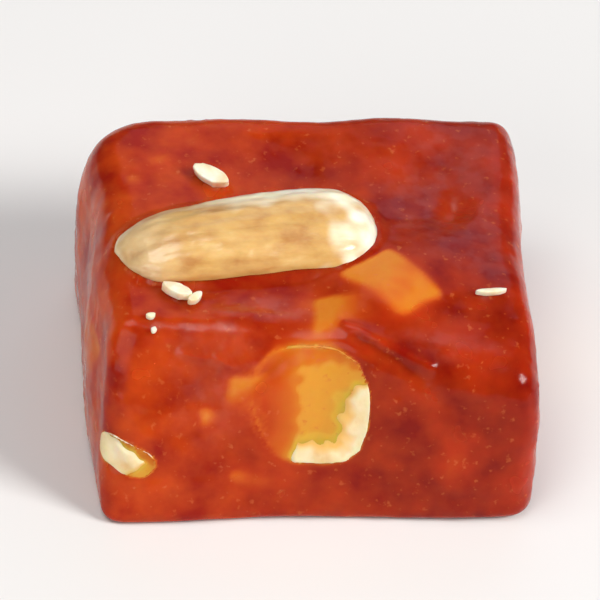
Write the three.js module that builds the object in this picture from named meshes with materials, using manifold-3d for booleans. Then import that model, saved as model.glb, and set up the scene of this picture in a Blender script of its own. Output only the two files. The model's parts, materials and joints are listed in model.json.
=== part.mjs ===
// One piece of red karachi halwa: a soft square slab of cornflour jelly with a blanched almond
// pressed into its top and nut pieces cut through at its sides.
// Millimetres. X runs along the front, Y to the back, Z up. The origin is in the middle of the base.
import * as THREE from "three";
import { mergeVertices } from "three/addons/utils/BufferGeometryUtils.js";
import Module from "manifold-3d";

const wasm = await Module();
wasm.setup();

// The slab
const WIDTH = 36;
const DEPTH = 34;
const HEIGHT = 17;
const TOP_EDGE = 2.3; // radius of the soft upper edges
const BASE_EDGE = 0.9; // radius round the base
const CORNER = 1.9; // radius of the upright corners
const BACK_LEFT_CORNER = 6; // this corner was cut off softer than the others
const SIDE_DRAFT = 0.7; // each side leans in by this from base to top
const FRONT_LEAN_LEFT = 6.6; // the front cut leans back by this at its left end
const FRONT_LEAN_RIGHT = 0.8; // and by this at its right end
const RIGHT_FLARE = 1.7; // the right side stands out by this at its back end
const RIGHT_SPREAD = 0.9; // and by this at its front end
const SIDE_BULGE = 0.5; // the soft sides stand out at half height
const TOP_SWELL = 0.42; // height of the slow waves on top
const KNIFE_WAVE = 0.22; // depth of the waves that the knife left on the cut sides
const OUTLINE_WAVE = 0.24; // how far the outline wanders from a true square
const CELLS_ACROSS = 26;
const CELLS_UP = 10;
const EDGE_CROWDING = 0.36; // how much closer the grid's lines lie near the edges

// Dents and bumps of the top: place, reach and height
const TOP_RELIEF = [
  { x: 4.8, y: -7.6, reach: 4.2, height: 0.75 }, // over the nut that is sunk beside the almond
  { x: 12.8, y: 4, reach: 1.6, height: -0.75 }, // small dimple
  { x: 11, y: 6.5, reach: 7.5, height: -0.7 }, // shallow dish with a broad sheen
  { x: -13.5, y: 12, reach: 4, height: 0.5 }, // over nut crumbs at the back left
  { x: 0.5, y: 10.5, reach: 5, height: -0.45 },
  { x: 15.5, y: -14.5, reach: 7, height: -1.5 }, // the front right corner hangs
  { x: -5.5, y: -11, reach: 2.6, height: 0.5 }, // lip above the front cut
  { x: 11.5, y: -12.2, reach: 2.6, height: 0.5 },
];

// The nuts: place of the middle, half sizes along their own axes, and turns in degrees
const GAP = 0.3; // between a nut and its socket in the jelly
const PROUD = 0.2; // a firm cut nut stands this far out of the soft cut face
const ALMOND = {
  at: [-5, 0.2, 16.7],
  half: [11.4, 4.8, 4],
  turn: [-4, 3, 8.5],
  tipBack: 0.36, // how much narrower it grows towards its tip on the side away from the front
  tipFront: 0, // and on its straighter side
  tipTop: 0.3, // and how much thinner
  roundEnd: 5, // power of the curve of its full end, where 2 gives an ellipse
  tipEnd: 3.2,
};
const CUT_NUTS = {
  nut_front: { at: [-0.4, -13.2, 10.5], half: [4.8, 4.4, 5.2], turn: [14, -9, 0] },
  nut_corner: { at: [-15.9, -15.2, 6.3], half: [2.4, 2.7, 1.4], turn: [0, 30, 25] },
  nut_right: { at: [16.2, 3.5, 8.4], half: [4.2, 5.2, 3.8], turn: [24, 0, 10] },
  nut_back: { at: [4.5, 14.6, 9.4], half: [5.9, 4.3, 3.7], turn: [0, 17, -8] },
};
const NUT_SQUARENESS = 3.2; // 2 gives an ellipsoid, more gives a chunk with blunt corners
const NUT_LUMPS = 0.06; // unevenness of a nut piece, as a share of its size

// Slivers of nut that lie on the top: middle, half sizes and turn about Z
const SLIVERS = [
  { x: -7.4, y: 7.4, half: [1.9, 0.85, 0.6], turn: -38 },
  { x: -11.5, y: -6.6, half: [1.5, 0.75, 0.6], turn: -30 },
  { x: -10.1, y: -7.6, half: [0.9, 0.6, 0.5], turn: 40 },
  { x: 15.2, y: -6.6, half: [1.4, 0.45, 0.4], turn: 4 },
];
const SLIVER_SHOWS = 0.6; // share of a sliver's half height by which its middle lies above the top

const JELLY = new THREE.MeshStandardMaterial({ color: 0xa8200c, roughness: 0.22, metalness: 0 });
const ALMOND_FLESH = new THREE.MeshStandardMaterial({ color: 0xf0dcae, roughness: 0.5, metalness: 0 });
const NUT_FLESH = new THREE.MeshStandardMaterial({ color: 0xe3a54e, roughness: 0.45, metalness: 0 });

const mix = THREE.MathUtils.lerp;
const smooth = THREE.MathUtils.smoothstep;

// A closed geometry as a solid to cut and join
function solidOf(geometry) {
  geometry.deleteAttribute("normal");
  geometry.deleteAttribute("uv");
  const merged = mergeVertices(geometry, 1e-4);
  return new wasm.Manifold(
    new wasm.Mesh({
      numProp: 3,
      vertProperties: merged.attributes.position.array,
      triVerts: new Uint32Array(merged.index.array),
    }),
  );
}

function meshOf(name, solid, material) {
  const { vertProperties, triVerts } = solid.getMesh();
  const geometry = new THREE.BufferGeometry();
  geometry.setAttribute("position", new THREE.BufferAttribute(vertProperties, 3));
  geometry.setIndex(new THREE.BufferAttribute(triVerts, 1));
  geometry.computeVertexNormals();
  const mesh = new THREE.Mesh(geometry, material);
  mesh.name = name;
  return mesh;
}

// Moves every vertex of a geometry by a function of its place
function shaped(geometry, move) {
  const { position } = geometry.attributes;
  const point = new THREE.Vector3();
  for (let i = 0; i < position.count; i++) {
    point.fromBufferAttribute(position, i);
    move(point);
    position.setXYZ(i, point.x, point.y, point.z);
  }
  return geometry;
}

// How far a coordinate lies inside the band where an edge is rounded
const intoBand = (value, half, band) => Math.max(0, Math.abs(value) - half + band);

// The share left of two such depths once a square edge has become an arc
const arcShare = (a, b) => (a > 0 && b > 0 ? Math.max(a, b) / Math.hypot(a, b) : 1);

// Moves a point of a plain box to its place on a box with round edges
function roundEdges(point, half) {
  const backLeft = smooth(-point.x / half.x, 0, 0.6) * smooth(point.y / half.y, 0, 0.6);
  const corner = mix(CORNER, BACK_LEFT_CORNER, backLeft);
  const cornerX = intoBand(point.x, half.x, corner);
  const cornerY = intoBand(point.y, half.y, corner);
  const cornerCut = 1 - arcShare(cornerX, cornerY);

  const edge = mix(BASE_EDGE, TOP_EDGE, smooth(point.z, -0.6 * half.z, 0.6 * half.z));
  const edgeX = intoBand(point.x, half.x, edge);
  const edgeY = intoBand(point.y, half.y, edge);
  const edgeZ = intoBand(point.z, half.z, edge);
  const outward = Math.max(edgeX, edgeY);
  const edgeCut = 1 - arcShare(outward, edgeZ);
  const inset = outward > 0 ? (edgeCut * outward) / Math.hypot(edgeX, edgeY) : 0;

  point.x -= Math.sign(point.x) * (cornerX * cornerCut + edgeX * inset);
  point.y -= Math.sign(point.y) * (cornerY * cornerCut + edgeY * inset);
  point.z -= Math.sign(point.z) * edgeZ * edgeCut;
}

function topRelief(x, y) {
  const waves =
    Math.sin(0.21 * x + 0.17 * y + 0.6) * Math.cos(0.19 * y - 0.09 * x + 1.1) +
    0.4 * Math.sin(0.47 * x - 0.33 * y + 2.2);
  const spots = TOP_RELIEF.map(({ x: spotX, y: spotY, reach, height }) => {
    const away = Math.hypot(x - spotX, y - spotY) / reach;
    return height * Math.exp(-away * away);
  });
  return spots.reduce((sum, spot) => sum + spot, TOP_SWELL * waves);
}

// The whole slab, grown outwards by a margin
function slab(margin) {
  const half = new THREE.Vector3(WIDTH, DEPTH, HEIGHT).divideScalar(2).addScalar(margin);
  const crowd = (t) => t * (1 + EDGE_CROWDING * (1 - t * t));
  const box = new THREE.BoxGeometry(2, 2, 2, CELLS_ACROSS, CELLS_ACROSS, CELLS_UP);
  return solidOf(
    shaped(box, (point) => {
      point.set(crowd(point.x), crowd(point.y), crowd(point.z)).multiply(half);
      roundEdges(point, half);
      point.z += HEIGHT / 2;

      const up = THREE.MathUtils.clamp(point.z / HEIGHT, 0, 1);
      const across = point.x / half.x;
      const along = point.y / half.y;
      const knife = KNIFE_WAVE * Math.sin(0.55 * point.x - 0.4 * point.y + 5 * up);
      const side = (SIDE_BULGE + knife) * Math.sin(Math.PI * up) - SIDE_DRAFT * up;
      const wander = OUTLINE_WAVE * Math.sin(0.23 * point.x + 0.31 * point.y + 0.8);
      const flare = mix(RIGHT_SPREAD, RIGHT_FLARE, (along + 1) / 2) * smooth(across, 0, 1);
      const lean = mix(FRONT_LEAN_LEFT, FRONT_LEAN_RIGHT, (across + 1) / 2) * ((1 - along) / 2) ** 2;

      point.x += across * (side + wander) + flare;
      point.y += along * (side - wander) + lean * up;
      point.z += topRelief(point.x, point.y) * smooth(up, 0.25, 1);
    }),
  );
}

// A geometry turned about its middle, by degrees, and put in its place
function placed(geometry, at, turn) {
  const rotation = new THREE.Euler(...turn.map(THREE.MathUtils.degToRad), "ZYX");
  return solidOf(geometry.applyMatrix4(new THREE.Matrix4().makeRotationFromEuler(rotation).setPosition(...at)));
}

// A whole almond along X, grown by a margin, with its tip at the low end
function almond(margin) {
  const { at, half, turn, tipBack, tipFront, tipTop, roundEnd, tipEnd } = ALMOND;
  const sphere = new THREE.SphereGeometry(1, 24, 18).rotateZ(-Math.PI / 2);
  shaped(sphere, (point) => {
    const along = point.x;
    const toTip = ((1 - along) / 2) ** 1.6;
    const power = along > 0 ? roundEnd : tipEnd;
    const fuller = Math.sqrt((1 - Math.abs(along) ** power) / Math.max(1e-3, 1 - along ** 2));
    const narrower = point.y > 0 ? tipBack : tipFront;
    point.set(
      along * (half[0] + margin),
      point.y * fuller * (half[1] + margin) * (1 - narrower * toTip),
      point.z * fuller * (half[2] + margin) * (1 - tipTop * toTip),
    );
  });
  return placed(sphere, at, turn);
}

// A broken piece of nut: an uneven pebble, grown by a margin
function pebble({ at, half, turn }, margin) {
  const sphere = new THREE.SphereGeometry(1, 18, 12);
  const size = new THREE.Vector3(...half).addScalar(margin);
  shaped(sphere, (point) => {
    const lumps = Math.sin(2.6 * point.x + at[0]) * Math.cos(2.2 * point.y - at[1]) + Math.sin(3 * point.z);
    const cubeSum = [point.x, point.y, point.z].reduce((sum, c) => sum + Math.abs(c) ** NUT_SQUARENESS, 0);
    point.multiplyScalar(cubeSum ** (-1 / NUT_SQUARENESS) * (1 + NUT_LUMPS * lumps)).multiply(size);
  });
  return placed(sphere, at, turn);
}

// A flat chip of nut, pointed at both ends, lying on the top
function sliver({ x, y, half, turn }) {
  const chip = new THREE.SphereGeometry(1, 7, 4).rotateZ(-Math.PI / 2).scale(...half);
  const lies = HEIGHT + topRelief(x, y) + SLIVER_SHOWS * half[2] - half[2] / 2;
  return placed(chip, [x, y, lies], [0, 0, turn]);
}

const piece = new THREE.Group();
const trim = slab(PROUD);
let jelly = slab(0).subtract(almond(GAP));

for (const [name, nut] of Object.entries(CUT_NUTS)) {
  jelly = jelly.subtract(pebble(nut, GAP));
  piece.add(meshOf(name, pebble(nut, 0).intersect(trim), NUT_FLESH));
}
for (const chip of SLIVERS) jelly = jelly.add(sliver(chip));

piece.add(meshOf("halwa", jelly, JELLY));
piece.add(meshOf("almond", almond(0), ALMOND_FLESH));

const bounds = new THREE.Box3().setFromObject(piece);
const middle = bounds.getCenter(new THREE.Vector3());
piece.position.set(-middle.x, -middle.y, -bounds.min.z);

export default piece;
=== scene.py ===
import json
import math
import random
import bmesh
import bpy
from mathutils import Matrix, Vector, noise
from mathutils.bvhtree import BVHTree
from mathutils.kdtree import KDTree

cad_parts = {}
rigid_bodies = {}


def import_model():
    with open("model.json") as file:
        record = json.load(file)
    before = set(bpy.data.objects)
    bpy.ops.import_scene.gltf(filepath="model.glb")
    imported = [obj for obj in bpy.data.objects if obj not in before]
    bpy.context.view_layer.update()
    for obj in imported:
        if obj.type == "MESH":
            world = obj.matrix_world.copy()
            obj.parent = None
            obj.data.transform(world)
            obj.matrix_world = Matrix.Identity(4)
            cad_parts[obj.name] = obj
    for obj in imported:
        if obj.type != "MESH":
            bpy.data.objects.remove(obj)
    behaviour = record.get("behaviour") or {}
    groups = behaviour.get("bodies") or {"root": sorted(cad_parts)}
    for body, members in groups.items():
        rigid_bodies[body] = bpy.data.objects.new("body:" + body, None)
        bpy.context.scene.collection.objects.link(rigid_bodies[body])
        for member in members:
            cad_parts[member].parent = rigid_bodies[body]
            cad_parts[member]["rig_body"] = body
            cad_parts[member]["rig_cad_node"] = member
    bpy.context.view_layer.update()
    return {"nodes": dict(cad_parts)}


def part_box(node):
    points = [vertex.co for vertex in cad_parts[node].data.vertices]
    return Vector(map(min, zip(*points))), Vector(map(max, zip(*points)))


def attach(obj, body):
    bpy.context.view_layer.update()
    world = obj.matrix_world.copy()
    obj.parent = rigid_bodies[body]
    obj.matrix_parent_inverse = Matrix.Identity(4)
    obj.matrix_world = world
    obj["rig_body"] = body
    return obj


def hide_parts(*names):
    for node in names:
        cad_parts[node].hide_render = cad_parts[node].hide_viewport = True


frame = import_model()
mm = 0.001
nutNodes = ["nut_front", "nut_corner", "nut_right", "nut_back"]

# camera: along the photo's line of sight to this piece, and as far away as its camera

cameraSet = {
    "azimuth": -8.2,      # degrees, the camera stands a little to the left
    "elevation": 43.0,
    "roll": 4.8,          # the piece lies right of the photo's middle, so its uprights lean
    "distance": 885 * mm,
    "frameWidth": 51 * mm,    # width seen at the piece
    "target": (-0.8 * mm, -0.2 * mm, 10.0 * mm),
    "sensor": 36,         # mm
    "clipStart": 0.01,
}


def makeCamera(s):
    az, el = math.radians(s["azimuth"]), math.radians(s["elevation"])
    away = Vector((math.sin(az) * math.cos(el), -math.cos(az) * math.cos(el), math.sin(el)))
    target = Vector(s["target"])
    bpy.ops.object.camera_add(location=target + away * s["distance"])
    camera = bpy.context.active_object
    camera.name = "photoCamera"
    camera.rotation_euler = (-away).to_track_quat("-Z", "Y").to_euler()
    camera.rotation_euler.rotate_axis("Z", math.radians(s["roll"]))
    camera.data.sensor_width = s["sensor"]
    camera.data.lens = s["sensor"] * s["distance"] / s["frameWidth"]
    camera.data.clip_start = s["clipStart"]
    bpy.context.scene.camera = camera


makeCamera(cameraSet)
print("camera set")


# small tools

weldWithin = 0.001 * mm
farOff = 0.1      # metres, how far off a ray towards the piece starts


def pick(*pieces):
    bpy.ops.object.select_all(action="DESELECT")
    for piece in pieces:
        piece.select_set(True)
    bpy.context.view_layer.objects.active = pieces[-1]


def addModifier(piece, kind, **values):
    pick(piece)
    bpy.ops.object.modifier_add(type=kind)
    modifier = piece.modifiers[-1]
    for key, value in values.items():
        setattr(modifier, key, value)


def applyAll(piece):
    pick(piece)
    for name in [m.name for m in piece.modifiers]:
        bpy.ops.object.modifier_apply(modifier=name)


def displace(piece, size, strength, group="", depth=2):   # cloudy relief, half of it inwards
    texture = bpy.data.textures.new("clouds", "CLOUDS")
    texture.noise_scale = size
    texture.noise_depth = depth
    addModifier(piece, "DISPLACE", texture=texture, strength=strength, mid_level=0.5, vertex_group=group)


def evenOut(piece, s):   # an even mesh with its edges rounded off
    addModifier(piece, "REMESH", mode="VOXEL", voxel_size=s["voxel"])
    addModifier(piece, "SMOOTH", factor=0.5, iterations=s["smoothing"])


def editAll(piece):
    pick(piece)
    bpy.ops.object.mode_set(mode="EDIT")
    bpy.ops.mesh.select_all(action="SELECT")


def backToObject():
    bpy.ops.object.mode_set(mode="OBJECT")


def copyNode(node, name):
    pick(frame["nodes"][node])
    bpy.ops.object.duplicate()
    piece = bpy.context.active_object
    piece.name = piece.data.name = name
    piece.parent = None
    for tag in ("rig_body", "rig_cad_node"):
        del piece[tag]
    piece.data.materials.clear()
    editAll(piece)
    bpy.ops.mesh.remove_doubles(threshold=weldWithin)
    backToObject()
    return piece


def weigh(piece, name, test):
    group = piece.vertex_groups.new(name=name)
    for v in piece.data.vertices:
        weight = test(v)
        if weight > 0:
            group.add([v.index], min(1.0, weight), "REPLACE")


def settle(piece):
    pick(piece)
    bpy.ops.object.transform_apply(location=True, rotation=True, scale=True)
    bpy.ops.object.shade_smooth()
    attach(piece, "root")


def joined(parts, name):
    pick(*parts)
    bpy.ops.object.join()
    piece = bpy.context.active_object
    piece.name = piece.data.name = name
    return piece


def treeOf(*pieces):
    points, faces = [], []
    for piece in pieces:
        faces += [[i + len(points) for i in face.vertices] for face in piece.data.polygons]
        points += [v.co.copy() for v in piece.data.vertices]
    return BVHTree.FromPolygons(points, faces)


def pointValues(piece, name, values):
    attribute = piece.data.attributes.new(name, "FLOAT", "POINT")
    attribute.data.foreach_set("value", values)


def clamp(value):
    return max(0.0, min(1.0, value))


# shader groups that several materials share, and helpers that place shader nodes

def newGroup(name, inputs, output):
    group = bpy.data.node_groups.new(name, "ShaderNodeTree")
    for label, kind, value in inputs:
        socket = group.interface.new_socket(label, in_out="INPUT", socket_type="NodeSocket" + kind)
        socket.default_value = value
    group.interface.new_socket(output[0], in_out="OUTPUT", socket_type="NodeSocket" + output[1])
    return group, group.nodes.new("NodeGroupInput").outputs, group.nodes.new("NodeGroupOutput").inputs


def buildMottle():   # patches of an uneven value, in the object's own space
    inputs = [("Scale", "Float", 400.0), ("Detail", "Float", 3.0),
              ("Stretch", "Vector", (1, 1, 1)), ("Turn", "Vector", (0, 0, 0))]
    group, given, result = newGroup("mottle", inputs, ("Value", "Float"))
    where = group.nodes.new("ShaderNodeTexCoord")
    mapping = group.nodes.new("ShaderNodeMapping")
    patches = group.nodes.new("ShaderNodeTexNoise")
    group.links.new(where.outputs["Object"], mapping.inputs["Vector"])
    group.links.new(given["Stretch"], mapping.inputs["Scale"])
    group.links.new(given["Turn"], mapping.inputs["Rotation"])
    group.links.new(mapping.outputs["Vector"], patches.inputs["Vector"])
    group.links.new(given["Scale"], patches.inputs["Scale"])
    group.links.new(given["Detail"], patches.inputs["Detail"])
    group.links.new(patches.outputs["Fac"], result["Value"])
    return group


def buildGrain():   # fine roughness of a surface, as a normal
    inputs = [("Scale", "Float", 2000.0), ("Strength", "Float", 0.3), ("Depth", "Float", 0.1 * mm),
              ("Stretch", "Vector", (1, 1, 1)), ("Turn", "Vector", (0, 0, 0))]
    group, given, result = newGroup("grain", inputs, ("Normal", "Vector"))
    patches = group.nodes.new("ShaderNodeGroup")
    patches.node_tree = mottle
    patches.inputs["Detail"].default_value = 3
    for name in ("Scale", "Stretch", "Turn"):
        group.links.new(given[name], patches.inputs[name])
    height = group.nodes.new("ShaderNodeBump")
    group.links.new(given["Strength"], height.inputs["Strength"])
    group.links.new(given["Depth"], height.inputs["Distance"])
    group.links.new(patches.outputs["Value"], height.inputs["Height"])
    group.links.new(height.outputs["Normal"], result["Normal"])
    return group


mottle = buildMottle()
grain = buildGrain()


def placeGroup(nodes, group, **values):
    node = nodes.new("ShaderNodeGroup")
    node.node_tree = group
    for key, value in values.items():
        node.inputs[key].default_value = value
    return node.outputs[0]


def roughen(nodes, links, shader, **values):
    links.new(placeGroup(nodes, grain, **values), shader.inputs["Normal"])


def newMaterial(name):
    material = bpy.data.materials.new(name)
    material.use_nodes = True
    nodes = material.node_tree.nodes
    return material, nodes, material.node_tree.links, nodes["Principled BSDF"]


def attributeValue(nodes, name):
    node = nodes.new("ShaderNodeAttribute")
    node.attribute_name = name
    return node.outputs["Fac"]


def ramp(nodes, links, fac, stops):
    node = nodes.new("ShaderNodeValToRGB")
    while len(node.color_ramp.elements) < len(stops):
        node.color_ramp.elements.new(0.5)
    for element, (place, colour) in zip(node.color_ramp.elements, stops):
        element.position = place
        element.color = (*colour, 1) if isinstance(colour, tuple) else (colour, colour, colour, 1)
    links.new(fac, node.inputs["Fac"])
    return node.outputs["Color"]


def mixColours(nodes, links, fac, a, b):
    node = nodes.new("ShaderNodeMix")
    node.data_type = "RGBA"
    for socket, value in ((node.inputs[0], fac), (node.inputs[6], a), (node.inputs[7], b)):
        links.new(value, socket)
    return node.outputs[2]


def mathNode(nodes, links, operation, a, b, c=0.0):
    node = nodes.new("ShaderNodeMath")
    node.operation = operation
    for socket, value in zip(node.inputs, (a, b, c)):
        if isinstance(value, float):
            socket.default_value = value
        else:
            links.new(value, socket)
    return node.outputs[0]


# the jelly slab

jellySet = {
    "socketReach": 0.6 * mm,    # a socket's wall is this near its nut
    "voxel": 0.25 * mm,
    "smoothing": 18,
    "waves": 0.18 * mm,
    "waveSize": 5 * mm,
    "dimples": 0.1 * mm,
    "dimpleSize": 2.0 * mm,
    "skin": 0.05 * mm,
    "skinSize": 0.7 * mm,
    "knife": 0.2 * mm,          # drag marks on the cut sides
    "knifeSize": 1.9 * mm,
    "flatBelow": 0.6 * mm,      # the underside stays flat
    "meniscus": 0.4 * mm,       # rise of the jelly along the almond
    "meniscusReach": 1.2 * mm,
}
spotSet = {"apart": 0.4, "reach": 2.4}    # of the spots that make them, in widths of a spot
foldSet = [   # wrinkles, grooves and a dimple along lines of places, with width and height, in mm
    {"line": [(1.6, -11.0, 17.2), (5.3, -13.0, 16.7), (8.6, -14.3, 15.3)],
     "width": 0.5, "height": 0.32},
    {"line": [(2.6, -12.2, 16.8), (5.6, -13.9, 15.9), (8.2, -15.0, 14.2)],
     "width": 0.5, "height": -0.2},
    {"line": [(-8.5, -9.3, 16.9), (-3.0, -9.5, 16.6), (1.0, -10.6, 17.0)],
     "width": 0.9, "height": 0.18},
    {"line": [(-12.0, -12.0, 15.2), (-10.2, -12.4, 15.0)], "width": 0.35, "height": 0.22},
    {"line": [(-9.2, -12.4, 15.0), (-7.9, -12.9, 14.4)], "width": 0.3, "height": 0.2},
    {"line": [(12.4, 4.2, 15.8), (12.5, 4.0, 15.8)], "width": 1.1, "height": -0.3},
]
pimpleSet = {     # small bumps and pits, with the least and most of their size in mm
    "count": 90,
    "seed": 11,
    "width": (0.25, 0.5),
    "height": (-0.07, 0.13),
    "above": 2.0 * mm,
}


def closeSockets(piece, nodeNames, reach):   # walls near the nuts go, and the openings are filled
    walls = treeOf(*[frame["nodes"][n] for n in nodeNames])
    editAll(piece)
    bpy.ops.mesh.select_mode(type="FACE")
    bpy.ops.mesh.select_all(action="DESELECT")
    mesh = bmesh.from_edit_mesh(piece.data)
    for face in mesh.faces:
        face.select = all(walls.find_nearest(v.co, reach)[0] for v in face.verts)
    bmesh.update_edit_mesh(piece.data)
    bpy.ops.mesh.delete(type="FACE")
    bpy.ops.mesh.select_all(action="SELECT")
    bpy.ops.mesh.fill_holes(sides=0)
    backToObject()


def foldSpots(piece, folds, apart):   # a wrinkle is a row of spots
    spots = []
    for f in folds:
        for start, end in zip(f["line"], f["line"][1:]):
            steps = math.ceil((Vector(end) - Vector(start)).length / (apart * f["width"]))
            for i in range(steps + 1):
                place = Vector(start).lerp(Vector(end), i / steps) * mm
                spots.append((piece.closest_point_on_mesh(place)[1], f["width"] * mm, f["height"] * mm))
    return spots


def pimpleSpots(piece, s):
    draw = random.Random(s["seed"])
    high = [v.co.copy() for v in piece.data.vertices if v.co.z > s["above"]]
    return [(draw.choice(high), draw.uniform(*s["width"]) * mm, draw.uniform(*s["height"]) * mm)
            for i in range(s["count"])]


def raiseSpots(piece, spots, reach):   # where spots meet, the strongest counts
    points = piece.data.vertices
    tree = KDTree(len(points))
    for v in points:
        tree.insert(v.co, v.index)
    tree.balance()
    lifts = {}
    for place, width, height in spots:
        for co, index, away in tree.find_range(place, reach * width):
            lift = height * math.exp(-(away / width) ** 2)
            if abs(lift) > abs(lifts.get(index, 0)):
                lifts[index] = lift
    moves = [(points[i], points[i].normal.copy() * lift) for i, lift in lifts.items()]
    for v, move in moves:
        v.co += move


def makeJelly(s):
    piece = copyNode("halwa", "jellySlab")
    closeSockets(piece, ["almond"] + nutNodes, s["socketReach"])
    evenOut(piece, s)
    applyAll(piece)
    flat = s["flatBelow"]
    weigh(piece, "top", lambda v: max(0.0, v.normal.z) ** 2)
    weigh(piece, "cutSides", lambda v: 1 - abs(v.normal.z) if v.co.z > flat else 0)
    weigh(piece, "shown", lambda v: 1 if v.co.z > flat else 0)
    displace(piece, s["waveSize"], s["waves"], "top")
    displace(piece, s["dimpleSize"], s["dimples"], "shown", 1)
    displace(piece, s["knifeSize"], s["knife"], "cutSides", 1)
    applyAll(piece)
    raiseSpots(piece, foldSpots(piece, foldSet, spotSet["apart"]), spotSet["reach"])
    raiseSpots(piece, pimpleSpots(piece, pimpleSet), spotSet["reach"])
    displace(piece, s["skinSize"], s["skin"], "shown")
    rim = piece.vertex_groups.new(name="rim")   # the jelly creeps up where it meets the almond
    rim.add(range(len(piece.data.vertices)), 1.0, "REPLACE")
    addModifier(piece, "VERTEX_WEIGHT_PROXIMITY", vertex_group="rim", target=frame["nodes"]["almond"],
                proximity_mode="GEOMETRY", proximity_geometry={"FACE"},
                min_dist=s["meniscusReach"], max_dist=0.0, falloff_type="SMOOTH")
    addModifier(piece, "DISPLACE", strength=s["meniscus"], mid_level=0.0, direction="Z",
                vertex_group="rim")
    applyAll(piece)
    settle(piece)
    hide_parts("halwa")
    return piece


jelly = makeJelly(jellySet)
print("jelly slab:", len(jelly.data.polygons), "faces")


# the almond

almondSet = {
    "turn": 8.5,              # degrees, its long way from X
    "half": (11.4 * mm, 4.8 * mm),
    "dents": 0.26 * mm,
    "dentSize": 2.8 * mm,
    "ridges": 0.11 * mm,      # faint ridges run from end to end
    "ridgeWide": 0.9 * mm,
    "ridgeLong": 9 * mm,
    "skin": 0.03 * mm,
    "skinSize": 0.4 * mm,
    "fuller": [(0.68, 0.3, 0.8 * mm), (-0.85, 0.22, 0.6 * mm)],   # bulges: place, reach, size
    "fullerRise": 1.3,        # how fast they rise from its middle line to its front edge
    "paleFrom": 0.02,         # from here to the back edge it is painted pale, as lit from behind, over its round half
    "paleFade": 0.35,
    "halfFrom": -0.45,        # where that half begins
    "halfFade": 0.5,
    "endFrom": 0.52,          # from here its round end is painted pale all over, a painted highlight
    "endFade": 0.3,
    "tipPale": 0.2,           # its tip is painted a little paler too, against its shade
    "tipFrom": 0.5,
    "tipFade": 0.3,
    "ragged": 0.15,           # how uneven the edges of the stain and of the painted light are
    "raggedSize": 1.5 * mm,
}


def almondFlesh():
    material, nodes, links, shader = newMaterial("almondFlesh")
    turn = (0, 0, math.radians(-8))
    patches = placeGroup(nodes, mottle, Scale=640, Detail=7, Stretch=(0.55, 1, 1), Turn=turn)
    pale = ramp(nodes, links, patches, [(0.3, (0.94, 0.82, 0.53)), (0.5, (0.97, 0.91, 0.68)),
                                        (0.7, (0.98, 0.95, 0.79))])
    tan = ramp(nodes, links, patches, [(0.3, (0.52, 0.24, 0.06)), (0.42, (0.62, 0.34, 0.10)),
                                       (0.57, (0.70, 0.42, 0.13)), (0.7, (0.76, 0.50, 0.19))])
    # tan where syrup stained it and where its front is in painted shade; pale where it is painted as lit
    # from behind, with a painted highlight at its round end
    stainAndShade = attributeValue(nodes, "stainAndShade")
    links.new(mixColours(nodes, links, stainAndShade, pale, tan), shader.inputs["Base Color"])
    gloss = placeGroup(nodes, mottle, Scale=700, Detail=3)
    links.new(ramp(nodes, links, gloss, [(0.3, 0.3), (0.7, 0.5)]), shader.inputs["Roughness"])
    roughen(nodes, links, shader, Scale=2400, Strength=0.5, Depth=0.1 * mm, Stretch=(0.12, 1, 1),
            Turn=turn)
    shader.inputs["Subsurface Weight"].default_value = 0.35
    shader.inputs["Subsurface Radius"].default_value = (1.0, 0.5, 0.25)
    shader.inputs["Subsurface Scale"].default_value = 1.2 * mm
    shader.inputs["Coat Weight"].default_value = 0.85
    shader.inputs["Coat Roughness"].default_value = 0.22
    return material


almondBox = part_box("almond")


def almondPlace(co, s):   # along from tip to round end and across from front to back, each -1 to 1
    middle = (almondBox[0] + almondBox[1]) / 2
    angle = math.radians(s["turn"])
    x, y = co.x - middle.x, co.y - middle.y
    along = x * math.cos(angle) + y * math.sin(angle)
    across = y * math.cos(angle) - x * math.sin(angle)
    return along / s["half"][0], across / s["half"][1]


def shapeAlmond(piece, s):   # ridges from end to end, and the bulges along its front edge
    moves = []
    angle = math.radians(s["turn"])
    frontward = Vector((math.sin(angle), -math.cos(angle), 0))
    longWay, wide = s["half"][0] / s["ridgeLong"], s["half"][1] / s["ridgeWide"]
    for v in piece.data.vertices:
        along, across = almondPlace(v.co, s)
        height = noise.noise(Vector((along * longWay, across * wide, v.co.z / s["ridgeWide"])))
        bulge = sum(size * math.exp(-((along - place) / reach) ** 2) for place, reach, size in s["fuller"])
        rise = clamp(-s["fullerRise"] * across)
        moves.append(v.normal * height * s["ridges"] + frontward * bulge * rise)
    for v, move in zip(piece.data.vertices, moves):
        v.co += move


def paintAlmondStainAndLight(piece, s):   # 1 where syrup has stained it and its front is in painted shade, 0 where it is painted pale as lit from behind, with a painted highlight at its round end
    values = []
    for v in piece.data.vertices:
        along, across = almondPlace(v.co, s)
        ragged = s["ragged"] * noise.noise(v.co / s["raggedSize"])
        roundHalf = clamp((along - s["halfFrom"]) / s["halfFade"])
        back = clamp((across - s["paleFrom"] + ragged) / s["paleFade"]) * roundHalf
        end = clamp((along - s["endFrom"] + 2 * ragged) / s["endFade"])
        tip = s["tipPale"] * clamp((-along - s["tipFrom"]) / s["tipFade"])
        values.append(1 - max(back, end, tip))
    pointValues(piece, "stainAndShade", values)


def makeAlmond(s):
    piece = copyNode("almond", "blanchedAlmond")
    addModifier(piece, "SUBSURF", levels=3, render_levels=3)
    displace(piece, s["dentSize"], s["dents"])
    applyAll(piece)
    shapeAlmond(piece, s)
    displace(piece, s["skinSize"], s["skin"])
    applyAll(piece)
    settle(piece)
    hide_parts("almond")
    paintAlmondStainAndLight(piece, s)
    piece.data.materials.append(almondFlesh())
    return piece


almond = makeAlmond(almondSet)
print("almond:", len(almond.data.polygons), "faces")


# nuts cut through at the sides, where the knife went through them with the jelly

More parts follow.
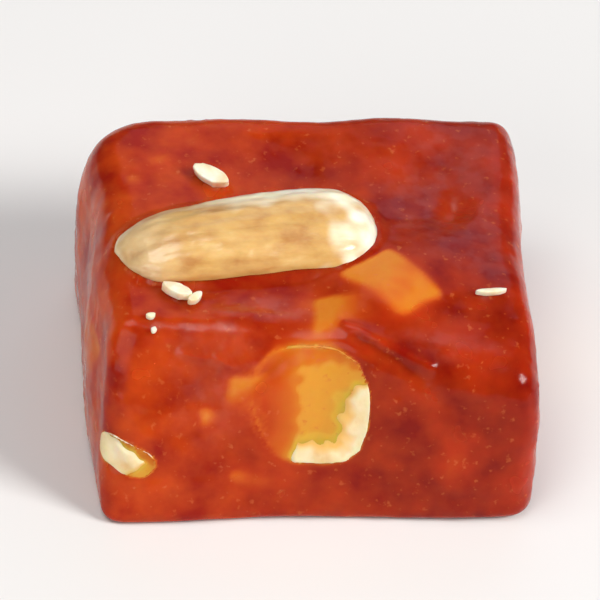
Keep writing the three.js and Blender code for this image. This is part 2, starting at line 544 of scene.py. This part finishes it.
cutNutSet = {
    "voxel": 0.16 * mm,
    "smoothing": 9,
    "crumble": 0.1 * mm,
    "crumbleSize": 0.9 * mm,
    "rimFade": 0.4,
    "ragged": 0.16,       # how uneven the edges of the film are
    "raggedSize": 1.1 * mm,
    "proud": 0.16 * mm,   # the bare rim stands this far out of the jelly
    "film": 0.13 * mm,    # the jelly over the rest of the cut face
    "filmTint": 0.45,     # its colour by the rim, where 1 is the deepest
    "deepFrom": 0.3,      # from here on, away from the rim, its colour deepens
    "deepFade": 0.65,
    "dip": 1.4 * mm,      # and the jelly over the edges that go under it
    "dipFade": 0.9,
    "faceSlope": 2.2,     # what faces out of the jelly follows it, and the nut's sides stay
    "faceFrom": 0.2,
}
# the axis across each cut face, the sides that the jelly left bare and how wide the bare rim is, which
# way is out, and the edges that dip under the jelly
cutNuts = {
    "nut_front": {"name": "frontNut", "across": 0, "bare": (1, -1), "rim": 0.34, "corner": 0.12,
                  "out": (0, -1, 0), "dips": [(-1, 0, 0.15), (0, 1, 0.75)]},
    "nut_corner": {"name": "cornerNut", "across": 0, "bare": (-1, 1), "rim": -0.6, "corner": -0.9,
                   "out": (-0.7, -0.7, 0), "dips": [(0.6, 0.8, 0.2)]},
    "nut_right": {"name": "rightNut", "across": 1, "bare": (-1, -1), "rim": 0.35, "corner": 0.1,
                  "out": (1, 0, 0), "dips": [(1, 0, 0.4), (0, 1, 0.3)]},
    "nut_back": {"name": "backNut", "across": 0, "bare": (-1, 1), "rim": 0.35, "corner": 0.1,
                 "out": (0, 1, 0), "dips": [(1, 0, 0.4), (0, -1, 0.6)]},
}


def makeCutNut(node, n, s):
    piece = copyNode(node, n["name"])
    evenOut(piece, s)
    displace(piece, s["crumbleSize"], s["crumble"])
    applyAll(piece)
    settle(piece)
    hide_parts(node)
    return piece


def cutFace(piece, node, n, s):   # it follows the jelly, bare at its rim and under a film elsewhere
    skin = treeOf(jelly)
    out = Vector(n["out"])
    lo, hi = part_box(node)
    middle, half = (lo + hi) / 2, (hi - lo) / 2
    values, moves = [], []
    for v in piece.data.vertices:
        sideways = (v.co[n["across"]] - middle[n["across"]]) / half[n["across"]]
        upward = (v.co.z - middle.z) / half.z
        u, w = n["bare"][0] * sideways, n["bare"][1] * upward
        ragged = s["ragged"] * noise.noise(v.co / s["raggedSize"])
        bare = clamp((min(max(u, w) - n["rim"], u + w - n["corner"]) + ragged) / s["rimFade"])
        deep = clamp((-u - s["deepFrom"] + ragged) / s["deepFade"])
        values.append((1 - bare) * (s["filmTint"] + (1 - s["filmTint"]) * deep))
        dip = max(a * sideways + b * upward - start for a, b, start in n["dips"]) + ragged
        aim = s["film"] - bare * (s["film"] + s["proud"]) + s["dip"] * clamp(dip / s["dipFade"])
        place, normal = skin.find_nearest(v.co)[:2]
        depth = (place - v.co).dot(normal)
        facing = clamp(s["faceSlope"] * v.normal.dot(out) - s["faceFrom"])
        moves.append(normal * (depth - aim) * facing)
    for v, move in zip(piece.data.vertices, moves):
        v.co += move
    pointValues(piece, "film", values)


def soakedNut():
    material, nodes, links, shader = newMaterial("soakedNut")
    patches = placeGroup(nodes, mottle, Scale=420, Detail=5)
    cream = ramp(nodes, links, patches, [(0.3, (0.78, 0.52, 0.24)), (0.5, (0.86, 0.68, 0.40)),
                                         (0.7, (0.92, 0.78, 0.55))])
    film = attributeValue(nodes, "film")
    uneven = mathNode(nodes, links, "MULTIPLY_ADD", patches, 0.5, film)
    amber = ramp(nodes, links, uneven, [(0.5, (0.84, 0.48, 0.13)), (0.7, (0.80, 0.36, 0.055)),
                                        (0.85, (0.76, 0.25, 0.025)), (1.0, (0.68, 0.13, 0.01))])
    soaked = ramp(nodes, links, film, [(0.01, 0.0), (0.2, 1.0)])
    links.new(mixColours(nodes, links, soaked, cream, amber), shader.inputs["Base Color"])
    links.new(ramp(nodes, links, film, [(0.1, 0.5), (0.4, 0.25)]), shader.inputs["Roughness"])
    roughen(nodes, links, shader, Scale=1700, Strength=0.35, Depth=0.1 * mm)
    shader.inputs["Specular IOR Level"].default_value = 0.3
    shader.inputs["Subsurface Weight"].default_value = 0.6
    shader.inputs["Subsurface Radius"].default_value = (1.0, 0.4, 0.15)
    shader.inputs["Subsurface Scale"].default_value = 1.2 * mm
    return material


nutMaterial = soakedNut()
madeNuts = []
for node, n in cutNuts.items():
    nut = makeCutNut(node, n, cutNutSet)
    cutFace(nut, node, n, cutNutSet)
    nut.data.materials.append(nutMaterial)
    madeNuts.append(nut)
print("cut nuts:", len(madeNuts))


# chopped nuts wholly sunk in the jelly: the side they show through, their place on it, half size
# and depth under it, in mm

lookIn = {"top": (0, 0, -1), "front": (0, 1, 0), "back": (0, -1, 0),
          "left": (1, 0, 0), "right": (-1, 0, 0)}
sunkSet = [
    {"side": "top", "at": (6.4, -6.3, 0), "half": (2.9, 3.1, 1.4), "turn": 38, "under": 0.28},
    {"side": "top", "at": (2.7, -9.1, 0), "half": (3.7, 1.9, 1.1), "turn": 6, "under": 0.9},
    {"side": "top", "at": (-0.8, -8.2, 0), "half": (1.9, 1.2, 0.9), "turn": -8, "under": 1.2},
    {"side": "top", "at": (-12.4, 9.8, 0), "half": (1.2, 0.8, 0.6), "turn": 20, "under": 0.75},
    {"side": "top", "at": (-14.6, 7.0, 0), "half": (0.8, 1.1, 0.6), "turn": 0, "under": 0.8},
    {"side": "top", "at": (-9.0, 12.6, 0), "half": (1.5, 0.9, 0.7), "turn": 30, "under": 1.0},
    {"side": "top", "at": (9.5, 11.5, 0), "half": (2.6, 2.0, 1.4), "turn": -30, "under": 2.0},
    {"side": "top", "at": (12.5, -10.5, 0), "half": (1.9, 1.5, 1.0), "turn": 15, "under": 1.6},
    {"side": "front", "at": (-7.0, 0, 10.4), "half": (1.7, 1.3, 3.4), "turn": 12, "under": 1.15},
    {"side": "front", "at": (-9.7, 0, 9.3), "half": (0.8, 0.7, 0.9), "turn": 30, "under": 0.45},
    {"side": "front", "at": (-4.5, 0, 3.6), "half": (3.0, 1.3, 1.1), "turn": 4, "under": 1.2},
    {"side": "front", "at": (11.8, 0, 6.0), "half": (2.1, 1.4, 1.7), "turn": 40, "under": 1.7},
    {"side": "left", "at": (0, -4.5, 9.5), "half": (1.6, 3.0, 2.4), "turn": 5, "under": 0.6},
    {"side": "left", "at": (0, 8.0, 6.0), "half": (1.2, 1.7, 1.3), "turn": 25, "under": 0.9},
    {"side": "right", "at": (0, -8.5, 8.5), "half": (1.5, 2.4, 1.8), "turn": -12, "under": 0.7},
    {"side": "right", "at": (0, 11.5, 9.0), "half": (1.3, 1.5, 2.0), "turn": 20, "under": 1.0},
    {"side": "back", "at": (-9.0, 0, 9.5), "half": (2.8, 1.5, 2.2), "turn": 14, "under": 0.6},
    {"side": "back", "at": (13.2, 0, 5.5), "half": (1.5, 1.2, 1.3), "turn": -20, "under": 0.9},
]
choppedSet = {
    "seed": 3,
    "tilt": (0.1, 0.15),  # radians, about X and Y
    "uneven": 0.3,        # how far a corner of the chopped piece lies from a true block's
    "bevel": 0.4,         # of its thinnest half size
    "lumps": 0.5 * mm,
    "lumpSize": 1.6 * mm,
    "cover": 0.22 * mm,   # the jelly is at least this thick over a sunk nut
}


def choppedNut(place, half, turn, draw, s):
    bpy.ops.object.select_all(action="DESELECT")
    bpy.ops.mesh.primitive_cube_add(size=2, location=place, rotation=(*s["tilt"], math.radians(turn)))
    piece = bpy.context.active_object
    piece.scale = [h * mm for h in half]
    bpy.ops.object.transform_apply(location=True, rotation=True, scale=True)
    for v in piece.data.vertices:
        v.co += Vector([draw.uniform(-1, 1) * s["uneven"] * h * mm for h in half])
    addModifier(piece, "BEVEL", width=s["bevel"] * min(half) * mm, segments=2)
    addModifier(piece, "SUBSURF", levels=3, render_levels=3)
    displace(piece, s["lumpSize"], s["lumps"])
    applyAll(piece)
    return piece


def keepUnder(piece, tree, cover):   # what would stand out of the jelly is pressed under it
    for v in piece.data.vertices:
        place, normal = tree.find_nearest(v.co)[:2]
        depth = (place - v.co).dot(normal)
        if depth < cover:
            v.co -= normal * (cover - depth)


def makeSunkNuts(chunks, s):
    draw = random.Random(s["seed"])
    made = []
    for c in chunks:
        inward = Vector(lookIn[c["side"]])
        place = jelly.ray_cast(Vector(c["at"]) * mm - inward * farOff, inward)[1]
        halfWay = abs(inward.dot(Vector(c["half"])))
        middle = place + inward * (c["under"] + halfWay) * mm
        made.append(choppedNut(middle, c["half"], c["turn"], draw, s))
    piece = joined(made, "sunkNuts")
    keepUnder(piece, treeOf(jelly), s["cover"])
    settle(piece)
    return piece


def sunkFlesh():
    material, nodes, links, shader = newMaterial("sunkFlesh")
    patches = placeGroup(nodes, mottle, Scale=300, Detail=4)
    links.new(ramp(nodes, links, patches, [(0.32, (0.90, 0.62, 0.24)), (0.5, (0.95, 0.74, 0.36)),
                                           (0.68, (0.98, 0.84, 0.50))]), shader.inputs["Base Color"])
    roughen(nodes, links, shader, Scale=1500, Strength=0.3, Depth=0.1 * mm)
    shader.inputs["Roughness"].default_value = 0.5
    return material


sunk = makeSunkNuts(sunkSet, choppedSet)
sunk.data.materials.append(sunkFlesh())
print("sunk nuts:", len(sunkSet))


# how far the nuts glow through the jelly, kept on its points

glowSet = {
    "reach": 3.4 * mm,      # what lies deeper than this doesn't show
    "through": 12 * mm,     # longer than any nut is thick
    "fade": 0.9 * mm,       # the glow drops to a third for each such depth of jelly
    "rings": (0.35, 0.8),   # slopes of the rings of rays that look in
    "rays": 6,
}
oilEdge = {"slope": 1.6, "rise": 0.3, "level": 0.5}   # how it fades at its edges and off the level
oilSet = [                  # where an oily sheen lies on the top: its middle and reach in X and Y, in mm
    {"at": (12.0, 6.5), "reach": (6.5, 9.5), "weight": 0.65},
    {"at": (-5.0, -8.4), "reach": (4.6, 1.7), "weight": 0.9},
    {"at": (-9.5, -12.4), "reach": (4.5, 2.6), "weight": 1.0},
    {"at": (10.0, -12.5), "reach": (4.5, 1.6), "weight": 0.7},
    {"at": (14.5, -3.0), "reach": (3.0, 3.0), "weight": 0.5},
]


def measureGlow(piece, nuts, s):
    tree = treeOf(*nuts)
    circle = [2 * math.pi * i / s["rays"] for i in range(s["rays"])]
    slopes = [(0, 0)] + [(r * math.cos(a + r), r * math.sin(a + r)) for r in s["rings"] for a in circle]
    values = []
    for v in piece.data.vertices:
        glow = 0.0
        if tree.find_nearest(v.co, s["reach"])[0]:
            sideways = v.normal.orthogonal().normalized()
            other = v.normal.cross(sideways)
            for a, b in slopes:
                ray = (sideways * a + other * b - v.normal).normalized()
                place, normal, face, depth = tree.ray_cast(v.co, ray, s["through"])
                if place is not None and normal.dot(ray) > 0:   # it starts inside a nut
                    glow += 1.0
                elif place is not None and depth < s["reach"]:
                    glow += math.exp(-depth / s["fade"])
        values.append(glow / len(slopes))
    pointValues(piece, "glow", values)


def spreadOil(piece, places, edge):
    values = []
    for v in piece.data.vertices:
        weight = 0.0
        for p in places:
            x = (v.co.x / mm - p["at"][0]) / p["reach"][0]
            y = (v.co.y / mm - p["at"][1]) / p["reach"][1]
            inside = clamp(edge["slope"] * (1 - math.hypot(x, y)) + edge["rise"])
            weight = max(weight, p["weight"] * inside)
        values.append(weight * max(0.0, v.normal.z) ** edge["level"])
    pointValues(piece, "oil", values)


def redJelly():
    material, nodes, links, shader = newMaterial("redJelly")
    cloud = placeGroup(nodes, mottle, Scale=270, Detail=5)
    # painted light and shade across the jelly: a lit red towards the left and a shaded red towards the
    # right
    paintedLitRed = ramp(nodes, links, cloud, [(0.32, (0.43, 0.014, 0.0015)), (0.66, (0.80, 0.10, 0.008))])
    paintedShadedRed = ramp(nodes, links, cloud, [(0.32, (0.20, 0.002, 0.001)), (0.66, (0.46, 0.017, 0.002))])
    where = nodes.new("ShaderNodeTexCoord")
    axes = nodes.new("ShaderNodeSeparateXYZ")
    links.new(where.outputs["Object"], axes.inputs["Vector"])
    drift = mathNode(nodes, links, "MULTIPLY_ADD", cloud, 0.5, 0.12)
    across = mathNode(nodes, links, "MULTIPLY_ADD", axes.outputs["X"], 22.0, drift)   # painted light and shade: the left is paler and the right darker, as if lit through from the left
    red = mixColours(nodes, links, across, paintedLitRed, paintedShadedRed)

    glow = attributeValue(nodes, "glow")
    lit = ramp(nodes, links, glow, [(0.1, (0.62, 0.040, 0.004)), (0.3, (0.74, 0.11, 0.009)),
                                    (0.55, (0.82, 0.20, 0.015)), (0.75, (0.87, 0.30, 0.025)),
                                    (0.9, (0.99, 0.58, 0.075))])
    near = ramp(nodes, links, glow, [(0.02, 0.0), (0.4, 0.9)])
    body = mixColours(nodes, links, near, red, lit)

    flecks = placeGroup(nodes, mottle, Scale=1500, Detail=2)
    speck = ramp(nodes, links, flecks, [(0.64, 0.0), (0.74, 0.45)])
    speckColour = ramp(nodes, links, cloud, [(0.3, (0.78, 0.16, 0.03)), (0.7, (0.84, 0.26, 0.08))])
    links.new(mixColours(nodes, links, speck, body, speckColour), shader.inputs["Base Color"])

    film = placeGroup(nodes, mottle, Scale=260, Detail=2)
    links.new(ramp(nodes, links, film, [(0.35, 0.12), (0.7, 0.28)]), shader.inputs["Roughness"])
    beads = placeGroup(nodes, mottle, Scale=620, Detail=2)
    broken = ramp(nodes, links, beads, [(0.42, 0.35), (0.58, 1.0)])
    oil = mathNode(nodes, links, "MULTIPLY", attributeValue(nodes, "oil"), broken)
    links.new(oil, shader.inputs["Coat Weight"])
    roughen(nodes, links, shader, Scale=1500, Strength=0.2, Depth=0.06 * mm)
    shader.inputs["IOR"].default_value = 1.4
    shader.inputs["Specular IOR Level"].default_value = 0.12
    shader.inputs["Transmission Weight"].default_value = 0.3
    shader.inputs["Subsurface Weight"].default_value = 1.0
    shader.inputs["Subsurface Radius"].default_value = (1.0, 0.2, 0.07)
    shader.inputs["Subsurface Scale"].default_value = 2.2 * mm
    shader.inputs["Coat Roughness"].default_value = 0.3
    inside = nodes.new("ShaderNodeVolumeAbsorption")
    inside.inputs["Color"].default_value = (0.92, 0.70, 0.30, 1)
    inside.inputs["Density"].default_value = 1000
    links.new(inside.outputs["Volume"], nodes["Material Output"].inputs["Volume"])
    return material


measureGlow(jelly, [sunk] + madeNuts, glowSet)
spreadOil(jelly, oilSet, oilEdge)
jelly.data.materials.append(redJelly())
print("jelly coloured")


# slivers and crumbs on top: their place, half size in mm, and turn and lean in degrees

sliverSet = [
    {"at": (-8.2, 7.2), "half": (1.9, 0.85, 0.45), "turn": -38, "lean": 12},
    {"at": (-12.2, -6.8), "half": (1.5, 0.75, 0.4), "turn": -30, "lean": -10},
    {"at": (-10.8, -7.7), "half": (0.8, 0.5, 0.35), "turn": 40, "lean": 5},
    {"at": (14.4, -6.8), "half": (1.4, 0.35, 0.25), "turn": 4, "lean": 0},
    {"at": (-14.6, -9.4), "half": (0.42, 0.3, 0.22), "turn": 15, "lean": 0},
    {"at": (-14.4, -10.6), "half": (0.32, 0.26, 0.2), "turn": 60, "lean": 0},
]
shavedSet = {
    "seed": 4,
    "sides": 9,
    "pinch": 0.45,            # how much its ends are narrowed
    "blunt": 0.6,             # and the share of that at its blunter end
    "widths": (0.8, 1.15),    # its corners are uneven, within these
    "lengths": (0.92, 1.08),
    "bow": 0.35,              # its ends turn up
    "stands": 0.4,            # how far its middle stands above the jelly, in half its thickness
    "bevel": 0.3,             # in half its thickness, and so are its lumps
    "lumps": 0.3,
    "lumpSize": 0.8 * mm,
}


def makeSliver(given, draw, s):
    above = Vector((*given["at"], 0)) * mm + Vector((0, 0, farOff))
    place = jelly.ray_cast(above, Vector((0, 0, -1)))[1]
    thick = given["half"][2] * mm
    bpy.ops.object.select_all(action="DESELECT")
    bpy.ops.mesh.primitive_cylinder_add(vertices=s["sides"], radius=1, depth=2)
    piece = bpy.context.active_object
    for v in piece.data.vertices:
        pinch = 1 - s["pinch"] * v.co.x ** 2 * (1 if v.co.x > 0 else s["blunt"])
        v.co.y *= pinch * draw.uniform(*s["widths"])
        v.co.x *= draw.uniform(*s["lengths"])
        v.co.z += s["bow"] * v.co.x ** 2
    piece.scale = [h * mm for h in given["half"]]
    piece.rotation_euler = (math.radians(given["lean"]), 0, math.radians(given["turn"]))
    piece.location = place + Vector((0, 0, s["stands"] * thick))
    bpy.ops.object.transform_apply(location=True, rotation=True, scale=True)
    addModifier(piece, "BEVEL", width=s["bevel"] * thick, segments=2)
    addModifier(piece, "SUBSURF", levels=2, render_levels=2)
    displace(piece, s["lumpSize"], s["lumps"] * thick)
    applyAll(piece)
    return piece


def makeSlivers(slivers, s):
    draw = random.Random(s["seed"])
    piece = joined([makeSliver(given, draw, s) for given in slivers], "nutSlivers")
    settle(piece)
    return piece


def sliverFlesh():
    material, nodes, links, shader = newMaterial("sliverFlesh")
    patches = placeGroup(nodes, mottle, Scale=500, Detail=4)
    links.new(ramp(nodes, links, patches, [(0.32, (0.86, 0.64, 0.38)), (0.5, (0.94, 0.82, 0.60)),
                                           (0.68, (0.98, 0.92, 0.78))]), shader.inputs["Base Color"])
    roughen(nodes, links, shader, Scale=2500, Strength=0.3, Depth=0.1 * mm)
    shader.inputs["Roughness"].default_value = 0.4
    shader.inputs["Subsurface Weight"].default_value = 0.5
    shader.inputs["Subsurface Radius"].default_value = (1.0, 0.45, 0.2)
    shader.inputs["Subsurface Scale"].default_value = 1.0 * mm
    return material


slivers = makeSlivers(sliverSet, shavedSet)
slivers.data.materials.append(sliverFlesh())
print("slivers:", len(sliverSet))


# floor and lights

floorSize = 4
worldLight = 0.15


def makeStage(size):
    bpy.ops.object.select_all(action="DESELECT")
    bpy.ops.mesh.primitive_plane_add(size=size)
    floor = bpy.context.active_object
    floor.name = "floor"
    material, nodes, links, shader = newMaterial("paleFloor")
    shader.inputs["Base Color"].default_value = (0.80, 0.79, 0.78, 1)
    shader.inputs["Roughness"].default_value = 0.7
    floor.data.materials.append(material)


lights = {
    "softBox": {"from": (0.72, -0.34, 0.60), "away": 0.9, "size": 0.32, "power": 7.6,
                "tint": (1, 0.99, 0.97)},
    "leftFill": {"from": (-0.55, -0.70, 0.45), "away": 0.9, "size": 0.6, "power": 2.6,
                 "tint": (1, 0.98, 0.95)},
    "topLight": {"from": (-0.25, -0.10, 0.96), "away": 0.9, "size": 0.45, "power": 2.9,
                 "tint": (1, 0.99, 0.97)},
    "sheenPanel": {"from": (0.20, 0.72, 0.66), "away": 0.5, "size": 0.30, "power": 0.22,
                   "tint": (0.75, 0.78, 1)},
}


def makeLights(sets, worldStrength):
    for name, s in sets.items():
        towards = Vector(s["from"]).normalized()
        bpy.ops.object.light_add(type="AREA", location=towards * s["away"])
        light = bpy.context.active_object
        light.name = name
        light.data.shape = "SQUARE"
        light.data.size = s["size"]
        light.data.energy = s["power"]
        light.data.color = s["tint"]
        light.rotation_euler = towards.to_track_quat("Z", "Y").to_euler()
    world = bpy.data.worlds.new("studio")
    bpy.context.scene.world = world
    world.use_nodes = True
    sky = world.node_tree.nodes["Background"]
    sky.inputs["Color"].default_value = (1, 1, 1, 1)
    sky.inputs["Strength"].default_value = worldStrength


makeStage(floorSize)
makeLights(lights, worldLight)
bpy.context.scene.view_settings.view_transform = "Standard"
print("stage and lights done")
